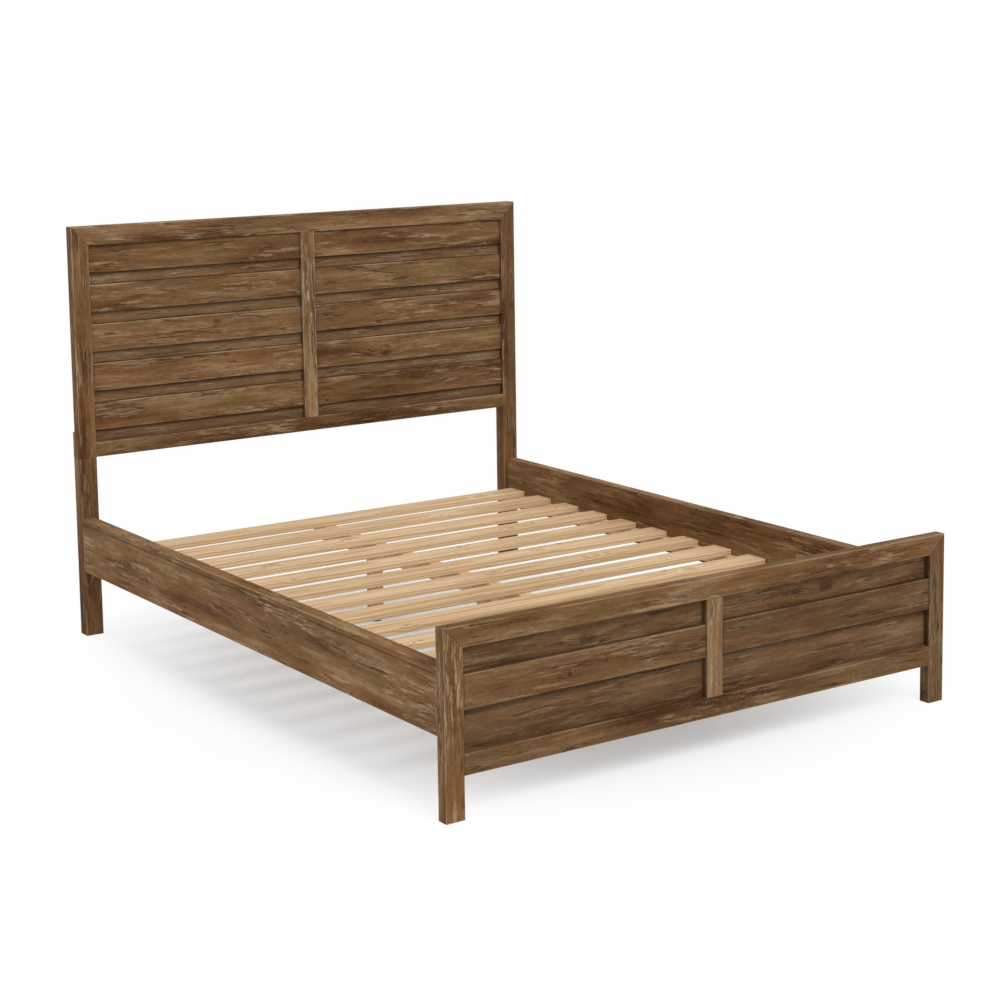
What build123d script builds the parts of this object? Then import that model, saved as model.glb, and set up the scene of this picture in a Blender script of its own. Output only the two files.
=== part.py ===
from build123d import *
import math
import os

# A wooden panel bed: a boarded headboard on separate legs, a matching footboard, two hooked side rails
# and a slatted deck on a centre beam. Millimetres, +X to the right seen from the foot, +Y towards the
# head, +Z up. The origin is on the floor under the middle of the bed.

# Mattress that the bay is made for, and the play round it
mattress_width = 1524.0
mattress_length = 2032.0
mattress_side_gap = 13.0
mattress_end_gap = 9.0
deck_depth = 99.0

# Headboard frame and its legs
headboard_height = 1278.0
headboard_depth = 38.0
headboard_floor_gap = 562.0
headboard_stile_width = 55.0
headboard_top_rail_height = 59.0
headboard_bottom_rail_height = 45.0
headboard_centre_stile_width = 49.0
headboard_board_count = 5
headboard_recess_height = 38.0
headboard_panel_setback = 16.0
headboard_board_setback = 8.0
leg_depth = 48.0
leg_lap_height = 78.0

# Footboard
footboard_height = 472.0
footboard_depth = 35.0
footboard_floor_gap = 108.0
footboard_post_width = 54.0
footboard_top_rail_height = 54.0
footboard_bottom_rail_height = 53.0
footboard_centre_stile_width = 50.0
footboard_board_height = 85.0
footboard_upper_recess = 66.0
footboard_panel_setback = 20.0
footboard_board_setback = 3.0

# Panels and joinery that the two ends share
panel_thickness = 9.0
panel_edge_gap = 1.0
rebate_width = 12.0
rail_tenon_length = 20.0
rail_tenon_thickness = 12.0
stile_tenon_length = 12.0
stile_tenon_thickness = 8.0
tenon_shoulder = 6.0
spline_thickness = 4.0
spline_width = 18.0
spline_end_inset = 18.0
arris = 1.5
joint_gap = 0.2
mortise_end_gap = 1.0

# Side rails and the cleats that carry the slats
rail_thickness = 40.0
rail_height = 168.0
rail_floor_gap = 206.0
rail_score_drop = 18.0
rail_score_width = 2.0
cleat_width = 25.0
cleat_height = 35.0
cleat_end_gap = 20.0

# Hook and slot fittings at the four rail ends
plate_width = 22.0
plate_height = 130.0
plate_thickness = 2.5
plate_screw_inset = 7.0
hook_thickness = 3.5
hook_neck_height = 14.0
hook_lip_thickness = 4.0
hook_lip_drop = 10.0
hook_spacing = 54.0
hook_gap = 0.5
hook_lift_play = 4.0
pocket_gap = 1.0

# Slatted deck and centre support
slat_count = 13
unsupported_end_slat_count = 2
slat_width = 80.0
slat_thickness = 18.0
slat_side_gap = 2.0
slat_end_margin = 25.0
beam_width = 38.0
beam_height = 48.0
support_leg_width = 40.0
support_leg_arris = 3.0
hanger_bolt_radius = 4.0
hanger_bolt_in_beam = 30.0
hanger_bolt_in_leg = 40.0

# Levelling feet and the threaded inserts that they screw into
foot_pad_radius = 19.0
foot_grip_sides = 12
foot_pad_rim = 6.0
foot_pad_height = 10.0
foot_boss_radius = 10.0
foot_pad_chamfer = 1.5
foot_stud_radius = 4.0
foot_stud_length = 44.0
foot_travel_up = 12.0
foot_stop_gap = 2.0
thread_gap = 0.3
insert_radius = 6.5
insert_length = 20.0
insert_flange_radius = 10.0
insert_flange_thickness = 1.5

# Screws and bolts, drawn with a few flats and no thread
fastener_sides = 6
screw_gap = 0.1
screw_head_radius = 4.0
screw_head_depth = 2.5
screw_shank_radius = 2.0
screw_point_radius = 0.4
slat_screw_length = 40.0
cleat_screw_length = 55.0
plate_screw_length = 25.0
leg_bolt_radius = 4.0
leg_bolt_head_radius = 8.0
leg_bolt_head_depth = 3.5
leg_bolt_length = 32.0
leg_bolt_edge_distance = 20.0
leg_bolt_top_distance = 16.0
leg_bolt_spacing = 28.0

# How far a cutter runs past the face that it opens
overcut = 1.0

# Main planes worked out from the sizes above
bay_width = mattress_width + 2 * mattress_side_gap
bay_length = mattress_length + 2 * mattress_end_gap
bed_width = bay_width + 2 * rail_thickness
bed_length = footboard_depth + bay_length + leg_depth
half_width = bed_width / 2
footboard_front = -bed_length / 2
footboard_back = footboard_front + footboard_depth
headboard_front = footboard_back + bay_length
headboard_back = headboard_front + headboard_depth
leg_back = headboard_front + leg_depth
rail_top = rail_floor_gap + rail_height
rail_centre_x = half_width - rail_thickness / 2
rail_centre_z = rail_floor_gap + rail_height / 2
deck_top = rail_top - deck_depth
slat_bottom = deck_top - slat_thickness
beam_bottom = slat_bottom - beam_height
left, right = -1, 1

pieces = {}


def block(x_span, y_span, z_span):
    """A squared piece between three pairs of coordinates."""
    spans = (x_span, y_span, z_span)
    centre = [(low + high) / 2 for low, high in spans]
    size = [high - low for low, high in spans]
    return Pos(*centre) * Box(*size)


def board_outline(points, y_span):
    """A flat-sided piece drawn in the XZ plane and thick along Y."""
    outline = Plane.XZ.offset(-y_span[0]) * make_face(Polyline(*points, close=True))
    return extrude(outline, amount=y_span[0] - y_span[1])


def eased(timber, grain):
    """The timber with its long edges broken by a small chamfer."""
    return chamfer(timber.edges().filter_by(grain), arris)


def eased_front(timber, grain):
    """The timber with only the two long edges of its front face broken."""
    return chamfer(timber.edges().filter_by(grain).group_by(Axis.Y)[0], arris)


def faceted(sections):
    """A screw or bolt with few flats, built up between sections of radius and height from the top down."""
    stages = []
    for upper, lower in zip(sections, sections[1:]):
        if upper[1] > lower[1]:
            ends = [Pos(0, 0, z) * RegularPolygon(radius, fastener_sides) for radius, z in (upper, lower)]
            stages.append(loft(ends, ruled=True))
    return stages[0] + stages[1:]


def countersunk_screw(length):
    """A screw with the top of its head at the origin and its point down."""
    return faceted(
        [
            (screw_head_radius, 0),
            (screw_shank_radius, -screw_head_depth),
            (screw_shank_radius, screw_shank_radius - length),
            (screw_point_radius, -length),
        ]
    )


def screw_hole(length):
    """The countersunk hole that a screw of this length fills."""
    wide = screw_head_radius + screw_gap
    narrow = screw_shank_radius + screw_gap
    return faceted(
        [
            (wide, overcut),
            (wide, 0),
            (narrow, -screw_head_depth),
            (narrow, -length - screw_gap),
        ]
    )


def placed(shape, places):
    """One copy of the shape at each place."""
    return [place * shape for place in places]


def end_frame(
    name, upright, front, depth, foot, bottom, top, upright_width, rails, centre_width, setbacks, boards
):
    """A mitred frame with a rebated back panel, a centre stile and boards laid on the panel."""
    top_rail, bottom_rail = rails
    panel_setback, board_setback = setbacks
    back = front + depth
    inner = half_width - upright_width
    bay_bottom = bottom + bottom_rail
    bay_top = top - top_rail
    panel_front = front + panel_setback

    rebate = block(
        (-inner - rebate_width, inner + rebate_width),
        (panel_front, back + overcut),
        (bay_bottom - rebate_width, bay_top + rebate_width),
    )
    panel_reach = rebate_width - panel_edge_gap
    pieces[name + "_back_panel"] = block(
        (-inner - panel_reach, inner + panel_reach),
        (panel_front, panel_front + panel_thickness),
        (bay_bottom - panel_reach, bay_top + panel_reach),
    )

    # Splines across the mitres, in the solid front half of the frame
    mitre_angle = math.degrees(math.atan2(top_rail, upright_width))
    mitre_length = math.hypot(top_rail, upright_width)
    mitre_middle = Pos(
        upright_width / 2 - half_width,
        front + panel_setback / 2,
        top - top_rail / 2,
    ) * Rot(0, mitre_angle, 0)
    spline_size = (mitre_length - 2 * spline_end_inset, spline_thickness, spline_width)
    spline = mitre_middle * Box(*spline_size)
    spline_slot = mitre_middle * Box(*[size + 2 * joint_gap for size in spline_size])
    right_spline_slot = mirror(spline_slot, about=Plane.YZ)

    # Tenon of the bottom rail, below the rebate, and its mortise
    tenon_y = front + depth / 2
    tenon_half = rail_tenon_thickness / 2
    tenon_low = bottom + tenon_shoulder
    tenon_high = bay_bottom - rebate_width - tenon_shoulder
    tenon = block(
        (-inner - rail_tenon_length, inner + rail_tenon_length),
        (tenon_y - tenon_half, tenon_y + tenon_half),
        (tenon_low, tenon_high),
    )
    mortise_reach = inner + rail_tenon_length + mortise_end_gap
    mortise = block(
        (-mortise_reach, mortise_reach),
        (tenon_y - tenon_half - joint_gap, tenon_y + tenon_half + joint_gap),
        (tenon_low - joint_gap, tenon_high + joint_gap),
    )

    # Tenons of the centre stile, in the thickness in front of the panel
    stub_y = front + panel_setback / 2
    stub_half = stile_tenon_thickness / 2
    stub_x = centre_width / 2 - tenon_shoulder
    stub = block(
        (-stub_x, stub_x),
        (stub_y - stub_half, stub_y + stub_half),
        (bay_bottom - stile_tenon_length, bay_top + stile_tenon_length),
    )
    stub_reach = stile_tenon_length + mortise_end_gap
    stub_mortise = block(
        (-stub_x - joint_gap, stub_x + joint_gap),
        (stub_y - stub_half - joint_gap, stub_y + stub_half + joint_gap),
        (bay_bottom - stub_reach, bay_top + stub_reach),
    )

    post = board_outline(
        [(-half_width, foot), (-half_width, top), (-inner, bay_top), (-inner, foot)],
        (front, back),
    )
    post = eased(post, Axis.Z) - rebate - mortise - spline_slot
    pieces[name + "_left_" + upright] = post
    pieces[name + "_right_" + upright] = mirror(post, about=Plane.YZ)

    head_rail = board_outline(
        [(-half_width, top), (half_width, top), (inner, bay_top), (-inner, bay_top)],
        (front, back),
    )
    head_rail = eased(head_rail, Axis.X) - rebate - stub_mortise - spline_slot - right_spline_slot
    pieces[name + "_top_rail"] = head_rail

    low_rail = eased(block((-inner, inner), (front, back), (bottom, bay_bottom)), Axis.X)
    pieces[name + "_bottom_rail"] = low_rail - rebate - stub_mortise + tenon

    centre_stile = block((-centre_width / 2, centre_width / 2), (front, panel_front), (bay_bottom, bay_top))
    pieces[name + "_centre_stile"] = eased_front(centre_stile, Axis.Z) + stub

    for number, z_span in enumerate(boards, start=1):
        mark = f"_{number}" if len(boards) > 1 else ""
        board = block(
            (joint_gap - inner, -centre_width / 2 - joint_gap),
            (front + board_setback, panel_front),
            z_span,
        )
        board = eased_front(board, Axis.X)
        pieces[f"{name}_board_left{mark}"] = board
        pieces[f"{name}_board_right{mark}"] = mirror(board, about=Plane.YZ)

    return [spline, mirror(spline, about=Plane.YZ)]


# Headboard: boards fill each bay in turn with a recess, the first board hard under the top rail
headboard_bay_top = headboard_height - headboard_top_rail_height
headboard_bay_bottom = headboard_floor_gap + headboard_bottom_rail_height
headboard_board_pitch = (headboard_bay_top - headboard_bay_bottom) / headboard_board_count
headboard_board_height = headboard_board_pitch - headboard_recess_height
headboard_boards = []
for step in range(headboard_board_count):
    board_top = headboard_bay_top - step * headboard_board_pitch
    headboard_boards.append((board_top - headboard_board_height, board_top))
headboard_splines = end_frame(
    name="headboard",
    upright="stile",
    front=headboard_front,
    depth=headboard_depth,
    foot=headboard_floor_gap,
    bottom=headboard_floor_gap,
    top=headboard_height,
    upright_width=headboard_stile_width,
    rails=(headboard_top_rail_height, headboard_bottom_rail_height),
    centre_width=headboard_centre_stile_width,
    setbacks=(headboard_panel_setback, headboard_board_setback),
    boards=headboard_boards,
)

# Footboard: one board across the middle of each bay
footboard_board_top = footboard_height - footboard_top_rail_height - footboard_upper_recess
footboard_splines = end_frame(
    name="footboard",
    upright="post",
    front=footboard_front,
    depth=footboard_depth,
    foot=0.0,
    bottom=footboard_floor_gap,
    top=footboard_height,
    upright_width=footboard_post_width,
    rails=(footboard_top_rail_height, footboard_bottom_rail_height),
    centre_width=footboard_centre_stile_width,
    setbacks=(footboard_panel_setback, footboard_board_setback),
    boards=[(footboard_board_top - footboard_board_height, footboard_board_top)],
)
pieces["mitre_splines"] = Compound(headboard_splines + footboard_splines)

# Headboard legs: the frame stands on the shoulder, and a tongue laps up behind the stile
leg_lap_top = headboard_floor_gap + leg_lap_height
leg_x = (-half_width, headboard_stile_width - half_width)
leg_shaft = block(leg_x, (headboard_front, leg_back), (0, headboard_floor_gap))
leg_tongue = block(leg_x, (headboard_back, leg_back), (headboard_floor_gap, leg_lap_top))
leg = eased(leg_shaft, Axis.Z) + leg_tongue

# Connector bolts from behind, with their heads let into the tongue
leg_bolt = faceted(
    [
        (leg_bolt_head_radius, 0),
        (leg_bolt_head_radius, -leg_bolt_head_depth),
        (leg_bolt_radius, -leg_bolt_head_depth),
        (leg_bolt_radius, -leg_bolt_length),
    ]
)
leg_bolt_hole = faceted(
    [
        (leg_bolt_head_radius + screw_gap, overcut),
        (leg_bolt_head_radius + screw_gap, -leg_bolt_head_depth),
        (leg_bolt_radius + screw_gap, -leg_bolt_head_depth),
        (leg_bolt_radius + screw_gap, -leg_bolt_length - screw_gap),
    ]
)
leg_bolt_places = []
for row in range(2):
    bolt_z = leg_lap_top - leg_bolt_top_distance - row * leg_bolt_spacing
    leg_bolt_places.append(Pos(leg_bolt_edge_distance - half_width, leg_back, bolt_z) * Rot(-90, 0, 0))
leg_bolts = placed(leg_bolt, leg_bolt_places)
leg_bolt_holes = placed(leg_bolt_hole, leg_bolt_places)
stile_bolt_cuts = leg_bolt_holes + [mirror(hole, about=Plane.YZ) for hole in leg_bolt_holes]
for side in ("left", "right"):
    pieces[f"headboard_{side}_stile"] -= stile_bolt_cuts
pieces["headboard_left_leg"] = leg - leg_bolt_holes
pieces["headboard_right_leg"] = mirror(pieces["headboard_left_leg"], about=Plane.YZ)
pieces["headboard_leg_bolts"] = Compound(leg_bolts + [mirror(bolt, about=Plane.YZ) for bolt in leg_bolts])

# Slats across the bay, evenly spaced between the end margins
slat_pitch = (bay_length - 2 * slat_end_margin - slat_width) / (slat_count - 1)
first_slat_y = footboard_back + slat_end_margin + slat_width / 2
slat_ys = [first_slat_y + step * slat_pitch for step in range(slat_count)]
slat_half_length = bay_width / 2 - slat_side_gap
support_slat_indices = (
    unsupported_end_slat_count,
    slat_count // 2,
    slat_count - 1 - unsupported_end_slat_count,
)

# Slats are screwed down at both ends, and every other one to the beam where no leg stands
cleat_centre_x = bay_width / 2 - cleat_width / 2
slat_screw = countersunk_screw(slat_screw_length)
slat_screw_hole = screw_hole(slat_screw_length)
slat_screws = []
slat_screw_holes = []
for index, slat_y in enumerate(slat_ys):
    across = [-cleat_centre_x, cleat_centre_x]
    if index % 2 == 1:
        across.append(0)
    screw_places = [Pos(screw_x, slat_y, deck_top) for screw_x in across]
    own_holes = placed(slat_screw_hole, screw_places)
    slat = block(
        (-slat_half_length, slat_half_length),
        (slat_y - slat_width / 2, slat_y + slat_width / 2),
        (slat_bottom, deck_top),
    )
    pieces[f"slat_{index + 1:02d}"] = eased(slat, Axis.X) - own_holes
    slat_screws += placed(slat_screw, screw_places)
    slat_screw_holes += own_holes
pieces["slat_screws"] = Compound(slat_screws)

# Side rails, with a cleat screwed along the inside of each between every other pair of slats
cleat_screw_places = []
for index in range(0, slat_count - 1, 2):
    screw_y = slat_ys[index] + slat_pitch / 2
    cleat_face = Pos(cleat_width - bay_width / 2, screw_y, slat_bottom - cleat_height / 2)
    cleat_screw_places.append(cleat_face * Rot(0, 90, 0))
cleat_screws = placed(countersunk_screw(cleat_screw_length), cleat_screw_places)
cleat_screw_holes = placed(screw_hole(cleat_screw_length), cleat_screw_places)
pieces["cleat_screws"] = Compound(cleat_screws + [mirror(screw, about=Plane.YZ) for screw in cleat_screws])
cleat = block(
    (-bay_width / 2, cleat_width - bay_width / 2),
    (footboard_back + cleat_end_gap, headboard_front - cleat_end_gap),
    (slat_bottom - cleat_height, slat_bottom),
)
cleat = cleat - cleat_screw_holes - slat_screw_holes
pieces["left_slat_cleat"] = cleat
pieces["right_slat_cleat"] = mirror(cleat, about=Plane.YZ)
side_rail = block(
    (-half_width, rail_thickness - half_width),
    (footboard_back, headboard_front),
    (rail_floor_gap, rail_top),
)
side_rail = eased(side_rail, Axis.Y) - cleat_screw_holes

# A line scored along the outer face of each rail, a little below its top
bay_centre_y = (footboard_back + headboard_front) / 2
score_line = Pos(-half_width, bay_centre_y, rail_top - rail_score_drop) * Rot(0, 45, 0)
score_side = rail_score_width / math.sqrt(2)
side_rail -= score_line * Box(score_side, bay_length + 2 * overcut, score_side)

# Hook and slot plates, drawn where a rail meets a leg: the rail lies at -Y and the leg at +Y
plate_half = plate_width / 2
hook_reach = plate_thickness + hook_gap + hook_lip_thickness
hook_half = hook_thickness / 2
neck_half = hook_neck_height / 2
slot_height = hook_neck_height + hook_lip_drop + hook_lift_play
slot_half_width = hook_half + hook_gap
hook_zs = [sign * hook_spacing / 2 + neck_half - slot_height / 2 for sign in (-1, 1)]
hook_outline = [
    (0, -neck_half),
    (plate_thickness + hook_gap, -neck_half),
    (plate_thickness + hook_gap, -neck_half - hook_lip_drop),
    (hook_reach - hook_gap, -neck_half - hook_lip_drop),
    (hook_reach, hook_gap - neck_half - hook_lip_drop),
    (hook_reach, neck_half),
    (0, neck_half),
]
hook = extrude(
    Plane.YZ * make_face(Polyline(*hook_outline, close=True)),
    amount=hook_half,
    both=True,
)
plate_z = (-plate_height / 2, plate_height / 2)
rail_recess = block((-plate_half, plate_half), (-plate_thickness, 0), plate_z)
leg_recess = block((-plate_half, plate_half), (0, plate_thickness), plate_z)
slots = []
pockets = []
for hook_z in hook_zs:
    slot_low = hook_z - neck_half
    slots.append(
        block(
            (-slot_half_width, slot_half_width),
            (-overcut, plate_thickness + overcut),
            (slot_low, slot_low + slot_height),
        )
    )
    pockets.append(
        block(
            (-slot_half_width - pocket_gap, slot_half_width + pocket_gap),
            (0, hook_reach + pocket_gap),
            (slot_low - hook_lip_drop - pocket_gap, slot_low + slot_height + pocket_gap),
        )
    )
plate_screw_z = plate_height / 2 - plate_screw_inset
leg_screw_places = [Pos(0, 0, sign * plate_screw_z) * Rot(90, 0, 0) for sign in (-1, 1)]
rail_screw_places = [Pos(0, 0, sign * plate_screw_z) * Rot(-90, 0, 0) for sign in (-1, 1)]
plate_screw = countersunk_screw(plate_screw_length)
plate_screw_hole = screw_hole(plate_screw_length)
leg_screw_holes = placed(plate_screw_hole, leg_screw_places)
rail_screw_holes = placed(plate_screw_hole, rail_screw_places)
slot_plate = leg_recess - slots - leg_screw_holes
hook_plate = rail_recess - rail_screw_holes + placed(hook, [Pos(0, 0, hook_z) for hook_z in hook_zs])
corner_screws = placed(plate_screw, leg_screw_places + rail_screw_places)


def at_rail_end(shape, side, end):
    """A corner fitting moved to the rail end that it belongs to."""
    if end == "head":
        return Pos(side * rail_centre_x, headboard_front, rail_centre_z) * shape
    return Pos(side * rail_centre_x, footboard_back, rail_centre_z) * mirror(shape, about=Plane.XZ)


corners = [(side, end) for side in (left, right) for end in ("foot", "head")]
pieces["rail_slot_plates"] = Compound([at_rail_end(slot_plate, *corner) for corner in corners])
pieces["rail_hook_plates"] = Compound([at_rail_end(hook_plate, *corner) for corner in corners])
pieces["rail_plate_screws"] = Compound(
    [at_rail_end(screw, *corner) for corner in corners for screw in corner_screws]
)
rail_end_cuts = [rail_recess] + rail_screw_holes
leg_face_cuts = [leg_recess] + pockets + leg_screw_holes
side_rail -= [at_rail_end(cut, left, end) for end in ("foot", "head") for cut in rail_end_cuts]
pieces["left_side_rail"] = side_rail
pieces["right_side_rail"] = mirror(side_rail, about=Plane.YZ)
for side, word in ((left, "left"), (right, "right")):
    pieces[f"headboard_{word}_leg"] -= [at_rail_end(cut, side, "head") for cut in leg_face_cuts]
    pieces[f"footboard_{word}_post"] -= [at_rail_end(cut, side, "foot") for cut in leg_face_cuts]

# Centre beam under the slats, as long as the run of slats
hanger_bolt = faceted([(hanger_bolt_radius, hanger_bolt_in_beam), (hanger_bolt_radius, -hanger_bolt_in_leg)])
hanger_hole = faceted(
    [
        (hanger_bolt_radius + screw_gap, hanger_bolt_in_beam + screw_gap),
        (hanger_bolt_radius + screw_gap, -hanger_bolt_in_leg - screw_gap),
    ]
)
support_ys = [slat_ys[index] for index in support_slat_indices]
hanger_places = [Pos(0, support_y, beam_bottom) for support_y in support_ys]
hanger_holes = placed(hanger_hole, hanger_places)
pieces["support_leg_bolts"] = Compound(placed(hanger_bolt, hanger_places))
beam = block(
    (-beam_width / 2, beam_width / 2),
    (slat_ys[0] - slat_width / 2, slat_ys[-1] + slat_width / 2),
    (beam_bottom, slat_bottom),
)
pieces["centre_beam"] = beam - slat_screw_holes - hanger_holes

# Support legs, each with a flanged insert in its end and a levelling foot screwed into that
foot_gap = foot_travel_up + foot_stop_gap + insert_flange_thickness
support_leg_bottom = foot_pad_height + foot_gap
stud_top = foot_pad_height + foot_stud_length
stud_bore_top = stud_top + foot_travel_up + foot_stop_gap
insert_top = support_leg_bottom + insert_length
flange_bottom = support_leg_bottom - insert_flange_thickness
stud_bore = Pos(0, 0, flange_bottom) * Cylinder(
    foot_stud_radius + thread_gap,
    stud_bore_top - flange_bottom,
    align=(Align.CENTER, Align.CENTER, Align.MIN),
)
insert = faceted(
    [
        (insert_radius, insert_top),
        (insert_radius, support_leg_bottom),
        (insert_flange_radius, support_leg_bottom),
        (insert_flange_radius, flange_bottom),
    ]
)
insert -= stud_bore
insert_hole = faceted(
    [
        (insert_radius + screw_gap, insert_top + screw_gap),
        (insert_radius + screw_gap, flange_bottom),
    ]
)
pad_sections = [
    (foot_pad_radius - foot_pad_chamfer, 0),
    (foot_pad_radius, foot_pad_chamfer),
    (foot_pad_radius, foot_pad_rim),
    (foot_boss_radius, foot_pad_height),
]
levelling_foot = Pos(0, 0, foot_pad_height) * Cylinder(
    foot_stud_radius,
    foot_stud_length,
    align=(Align.CENTER, Align.CENTER, Align.MIN),
)
for lower, upper in zip(pad_sections, pad_sections[1:]):
    ends = [Pos(0, 0, z) * RegularPolygon(radius, foot_grip_sides) for radius, z in (lower, upper)]
    levelling_foot += loft(ends, ruled=True)
support_leg_half = support_leg_width / 2
support_leg = block(
    (-support_leg_half, support_leg_half),
    (-support_leg_half, support_leg_half),
    (support_leg_bottom, beam_bottom),
)
support_leg = chamfer(support_leg.edges().filter_by(Axis.Z), support_leg_arris) - [insert_hole, stud_bore]
for number, support_y in enumerate(support_ys, start=1):
    pieces[f"support_leg_{number}"] = Pos(0, support_y, 0) * support_leg - hanger_holes
    pieces[f"levelling_foot_{number}"] = Pos(0, support_y, 0) * levelling_foot
pieces["foot_inserts"] = Compound(placed(insert, [Pos(0, support_y, 0) for support_y in support_ys]))

os.makedirs("parts", exist_ok=True)
for node, shape in pieces.items():
    export_step(shape, os.path.join("parts", node + ".step"))
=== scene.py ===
import math
import random

import bmesh
import bpy
from mathutils import Matrix, Vector


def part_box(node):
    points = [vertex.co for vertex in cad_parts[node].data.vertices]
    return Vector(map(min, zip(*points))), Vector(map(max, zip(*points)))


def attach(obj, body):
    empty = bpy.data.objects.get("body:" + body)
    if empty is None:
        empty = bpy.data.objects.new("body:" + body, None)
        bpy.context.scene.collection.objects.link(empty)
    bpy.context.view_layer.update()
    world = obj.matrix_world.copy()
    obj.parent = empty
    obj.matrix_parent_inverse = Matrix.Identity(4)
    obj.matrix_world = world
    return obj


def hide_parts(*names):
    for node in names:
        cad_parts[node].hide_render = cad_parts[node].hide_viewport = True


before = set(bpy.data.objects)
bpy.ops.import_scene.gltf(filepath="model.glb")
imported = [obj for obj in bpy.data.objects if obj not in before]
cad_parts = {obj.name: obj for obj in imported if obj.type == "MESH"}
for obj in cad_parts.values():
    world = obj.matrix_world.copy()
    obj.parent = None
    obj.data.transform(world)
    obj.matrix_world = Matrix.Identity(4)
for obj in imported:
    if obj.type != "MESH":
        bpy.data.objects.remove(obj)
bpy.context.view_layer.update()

# Headboard legs and frame: two square legs with a tongue behind, two stiles, a top rail mitred to them
# and a bottom rail tenoned between. Solid timber, sawn, wire brushed and stained brown, then worn back
# to paler wood on the arrises and in flakes along the grain.
grain_axes = {"X": (0, 2, 1), "Y": (1, 2, 0), "Z": (2, 0, 1)}
log_reach = 40.0
stain_deep = (0.074, 0.0310, 0.0110, 1.0)
stain_brown = (0.177, 0.0895, 0.0362, 1.0)
stain_straw = (0.308, 0.1880, 0.0950, 1.0)
worn_pale = (0.450, 0.3150, 0.1810, 1.0)
# The dark brown of joint lines, and of the painted shade in the bays, in the recesses and by the boards
seam_and_shade_brown = (0.032, 0.0150, 0.0072, 1.0)
olive_cast = (0.965, 1.010, 0.985, 1.0)
russet_cast = (1.035, 0.990, 0.960, 1.0)


def add_node(tree, kind, inputs, **settings):
    """A shader node with its settings made and its inputs set to values or joined to other outputs."""
    made = tree.nodes.new("ShaderNode" + kind)
    for setting, value in settings.items():
        setattr(made, setting, value)
    for socket, value in inputs.items():
        if isinstance(value, bpy.types.NodeSocket):
            tree.links.new(value, made.inputs[socket])
        else:
            made.inputs[socket].default_value = value
    return made


def figure(tree, operation, *values):
    """The result of one sum on sockets or numbers."""
    return add_node(tree, "Math", dict(enumerate(values)), operation=operation).outputs[0]


def vector(tree, operation, *points):
    """The point that one sum on points gives."""
    return add_node(tree, "VectorMath", dict(enumerate(points)), operation=operation).outputs[0]


def measure(tree, operation, *points):
    """The number that one sum on points gives, such as a length."""
    return add_node(tree, "VectorMath", dict(enumerate(points)), operation=operation).outputs["Value"]


def between(tree, value, low, high, bottom=0.0, top=1.0):
    """A smooth rise from bottom at low to top at high."""
    limits = {"Value": value, "From Min": low, "From Max": high, "To Min": bottom, "To Max": top}
    return add_node(tree, "MapRange", limits, interpolation_type="SMOOTHSTEP").outputs[0]


def noise(tree, place, per_metre, detail=2.0, roughness=0.5):
    """Soft noise, from 0 to 1, with its own pitch along, across and through the grain."""
    pitch = add_node(tree, "Mapping", {"Vector": place, "Scale": per_metre})
    settings = {"Vector": pitch.outputs[0], "Scale": 1.0, "Detail": detail, "Roughness": roughness}
    return add_node(tree, "TexNoise", settings).outputs[0]


def tint(tree, share, under, over, blend="MIX"):
    """One colour laid over another by a share."""
    mixed = add_node(tree, "Mix", {0: share, 6: under, 7: over}, data_type="RGBA", blend_type=blend)
    return mixed.outputs[2]


def own_point(tree):
    """A point on a piece, in the piece's own coordinates."""
    return add_node(tree, "TexCoord", {}).outputs["Object"]


def grain_place(tree, grain, offset):
    """A point on a piece, and its place in the log as it runs along, across and through the grain."""
    along, across, through = grain_axes[grain]
    point = own_point(tree)
    split = add_node(tree, "SeparateXYZ", {0: point}).outputs
    turned = add_node(tree, "CombineXYZ", {0: split[along], 1: split[across], 2: split[through]})
    return point, vector(tree, "ADD", turned.outputs[0], offset)


def arris_distance(tree, point, low, high):
    """How far a point on a squared timber lies from its nearest arris."""
    from_centre = vector(tree, "ABSOLUTE", vector(tree, "SUBTRACT", point, (low + high) / 2))
    inset = vector(tree, "SUBTRACT", (high - low) / 2, from_centre)
    x, y, z = add_node(tree, "SeparateXYZ", {0: inset}).outputs
    lesser = figure(tree, "MINIMUM", x, y)
    greater = figure(tree, "MAXIMUM", x, y)
    return figure(tree, "MAXIMUM", lesser, figure(tree, "MINIMUM", greater, z))


def seam_lines_and_shade(tree, point, seams):
    """Dark joint lines and painted shade along planes, each given by its direction, distance, reach and
    share.
    """
    seam_dark_and_shade = 0.0
    for square_to, distance, reach, share in seams:
        across = measure(tree, "DOT_PRODUCT", point, square_to)
        gap = figure(tree, "ABSOLUTE", figure(tree, "SUBTRACT", across, distance))
        full_within = 0.2 * reach
        seam_dark_and_shade = figure(tree, "MAXIMUM", seam_dark_and_shade, between(tree, gap, reach, full_within, 0.0, share))
    return seam_dark_and_shade


def painted_bay_shade(tree, point, bay):
    """Painted shade deep in a bay, given by its corners, that thins out towards the bay's front."""
    slack = 0.0005
    deepest_share = 0.62
    low, high = bay
    x, y, z = add_node(tree, "SeparateXYZ", {0: point}).outputs
    half = (high - low) / 2 + Vector((slack, 0.0, slack))
    in_width = figure(tree, "COMPARE", x, low.x + half.x, half.x)
    in_height = figure(tree, "COMPARE", z, low.z + half.z, half.z)
    inside = figure(tree, "MULTIPLY", in_width, in_height)
    full_from = low.y + 1.6 * half.y
    return figure(tree, "MULTIPLY", inside, between(tree, y, low.y, full_from, 0.0, deepest_share))


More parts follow.
